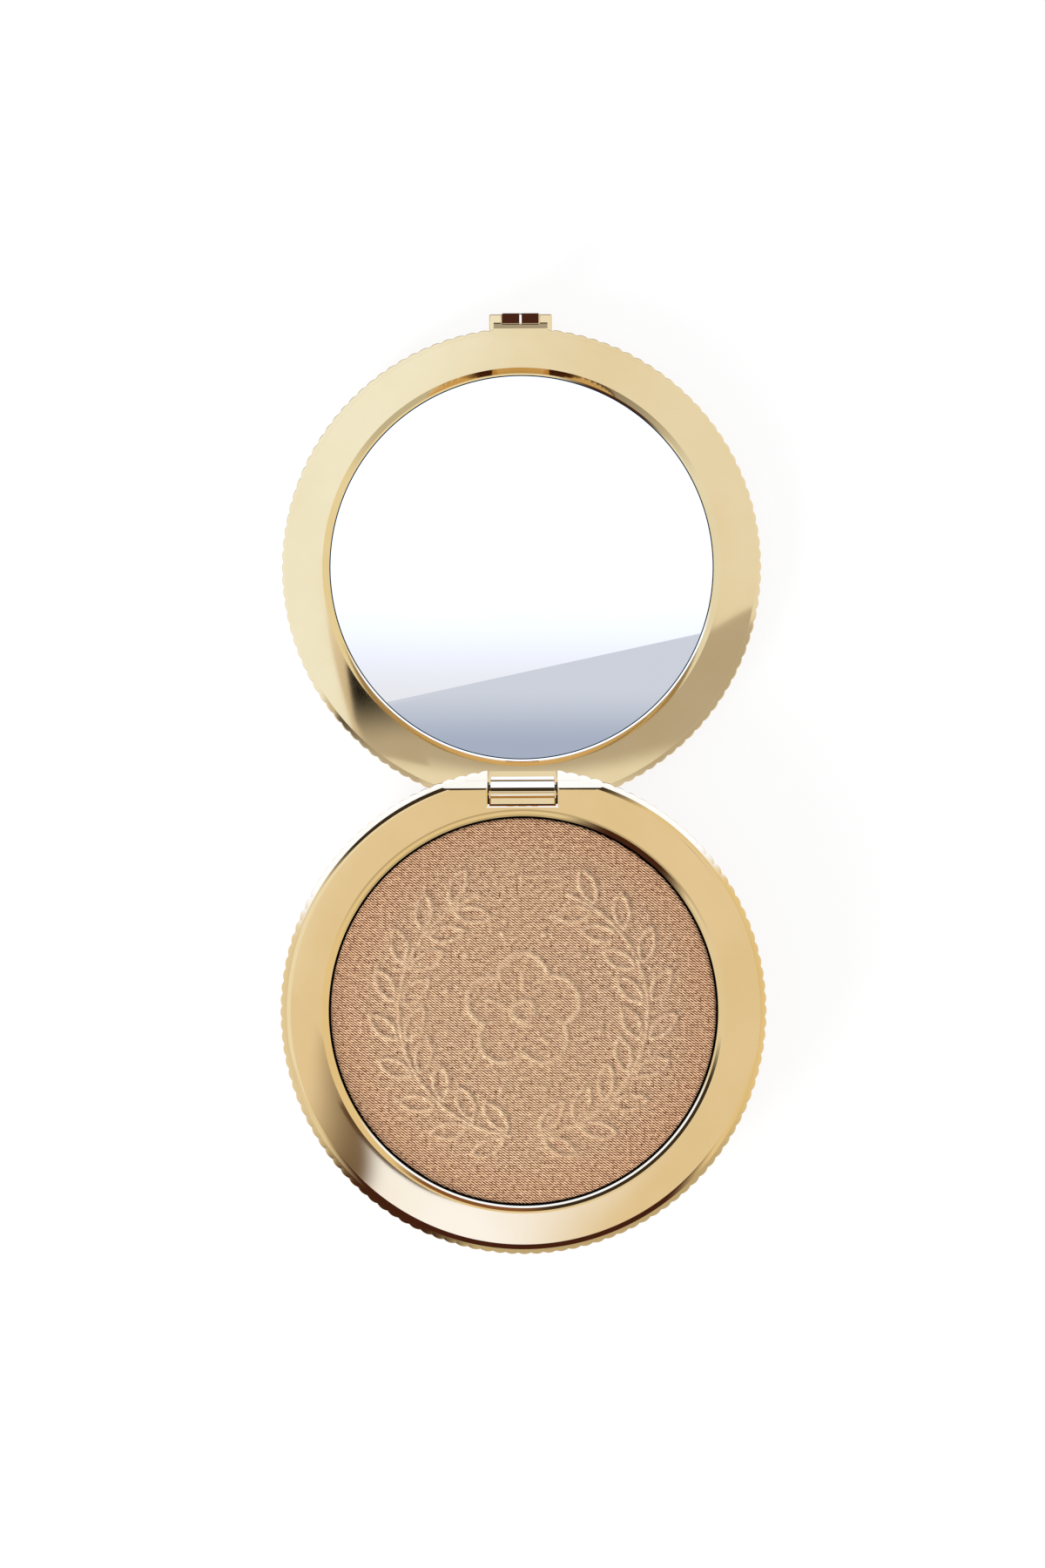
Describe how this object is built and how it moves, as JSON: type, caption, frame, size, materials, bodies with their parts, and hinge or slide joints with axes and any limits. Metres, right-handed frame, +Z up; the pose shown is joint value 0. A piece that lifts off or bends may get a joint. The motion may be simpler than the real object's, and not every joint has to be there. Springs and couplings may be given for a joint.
{
  "type": "powder compact",
  "caption": "Round gold powder compact with a scalloped rim, a hinged mirror lid that opens flat, a pressed powder pan and a snap latch.",
  "frame": {"origin": "middle of the flat foot that the base stands on", "axes": "+Z up out of the powder, +Y to the rear where the hinge and the opened lid are, +X to the right; the hinge axis runs along X"},
  "size_m": [0.074, 0.1441, 0.0125],
  "materials": {
    "gold_base": "vacuum-metallised gold, polished",
    "gold_lid": "vacuum-metallised pale gold, polished",
    "pan_metal": "pressed",
    "adhesive": "foam pad",
    "powder": "pressed powder with a woven imprint",
    "pin_steel": "drawn wire",
    "mirror": "silvered glass"
  },
  "bodies": {
    "base": {"base_shell": "gold_base", "base_tray": "gold_base", "powder_pan": "pan_metal", "pan_adhesive": "adhesive", "pressed_powder": "powder", "hinge_pin": "pin_steel"},
    "lid": {"lid_shell": "gold_lid", "mirror_tray": "gold_lid", "mirror_glass": "mirror", "mirror_adhesive": "adhesive", "latch_hook": "gold_lid"}
  },
  "joints": [
    {"name": "lid_hinge", "type": "hinge", "parent": "base", "child": "lid", "pos_m": [0, 0.034, 0.009], "axis": [1, 0, 0], "range_deg": [0, 180]}
  ]
}
